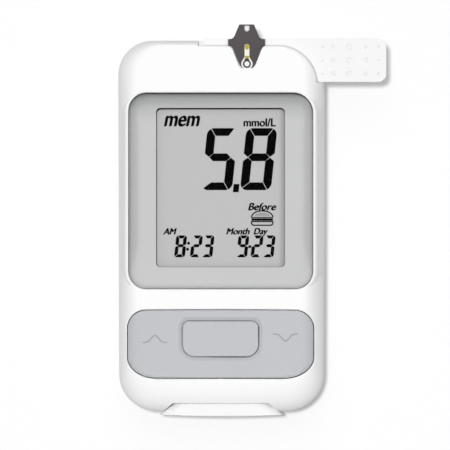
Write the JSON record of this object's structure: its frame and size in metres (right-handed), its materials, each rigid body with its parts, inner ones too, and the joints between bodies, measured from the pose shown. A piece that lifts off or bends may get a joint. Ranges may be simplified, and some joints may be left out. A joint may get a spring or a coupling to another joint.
{
  "type": "blood glucose meter",
  "caption": "Hand-held white blood glucose meter with a recessed display, a grey rocker key, a centre button, a sliding battery cover and a wide test strip in its port.",
  "frame": {"origin": "on the flat back face, half way along and across the body", "axes": "+X to the meter's right seen from the front, +Y towards the strip port, +Z out of the front"},
  "size_m": [0.0651, 0.095, 0.0187],
  "materials": {
    "housing_white": "fine satin moulded ABS",
    "bezel_grey": "satin grey moulded plastic",
    "key_grey": "soft touch grey plastic",
    "window_clear": "clear glossy acrylic",
    "lcd_grey": "grey liquid crystal display behind a polariser",
    "holder_white": "white moulded plastic",
    "strip_white": "smooth white strip plastic",
    "label_dark": "printed dark grey film",
    "electrode_gold": "gold coloured electrode film",
    "channel_cream": "cream absorbent film",
    "board_green": "green solder mask",
    "chip_black": "black moulded epoxy",
    "steel": "nickel plated steel",
    "silicone": "translucent silicone rubber",
    "cell_sleeve": "printed metallic cell sleeve"
  },
  "bodies": {
    "housing": {"front_housing": "housing_white", "rear_housing": "housing_white", "display_bezel": "bezel_grey", "display_window": "window_clear", "lcd_glass": "lcd_grey", "lcd_holder": "holder_white", "zebra_strip_top": "chip_black", "zebra_strip_bottom": "chip_black", "keypad_sheet": "silicone", "dome_left": "steel", "dome_centre": "steel", "dome_right": "steel", "main_board": "board_green", "microcontroller": "chip_black", "radio_module": "steel", "quartz_crystal": "steel", "buzzer": "chip_black", "strip_connector": "chip_black", "connector_contact_1": "electrode_gold", "connector_contact_2": "electrode_gold", "connector_contact_3": "electrode_gold", "battery_left": "cell_sleeve", "battery_right": "cell_sleeve", "battery_spring_left": "steel", "battery_spring_right": "steel", "battery_link_plate": "steel", "battery_minus_plate": "steel", "battery_plus_plate": "steel", "screw_top_left": "steel", "screw_top_right": "steel", "screw_bottom_left": "steel", "screw_bottom_right": "steel"},
    "battery_door": {"battery_cover": "housing_white"},
    "rocker": {"rocker_key": "key_grey"},
    "select_button": {"centre_button": "key_grey"},
    "strip": {"test_strip": "strip_white", "strip_channel": "channel_cream", "strip_electrode": "electrode_gold", "strip_label": "label_dark"}
  },
  "joints": [
    {"name": "rocker_tilt", "type": "hinge", "parent": "housing", "child": "rocker", "pos_m": [0, -0.02815, 0.0154], "axis": [0, 1, 0], "range_deg": [-1.2, 1.2], "stiffness_Nm_per_rad": 1},
    {"name": "centre_button_press", "type": "slide", "parent": "housing", "child": "select_button", "axis": [0, 0, -1], "range_m": [0, 0.0004], "stiffness_N_per_m": 1500},
    {"name": "battery_cover_slide", "type": "slide", "parent": "housing", "child": "battery_door", "axis": [0, -1, 0], "range_m": [0, 0.056]},
    {"name": "strip_slide", "type": "slide", "parent": "housing", "child": "strip", "axis": [0, 1, 0], "range_m": [0, 0.0125]}
  ]
}
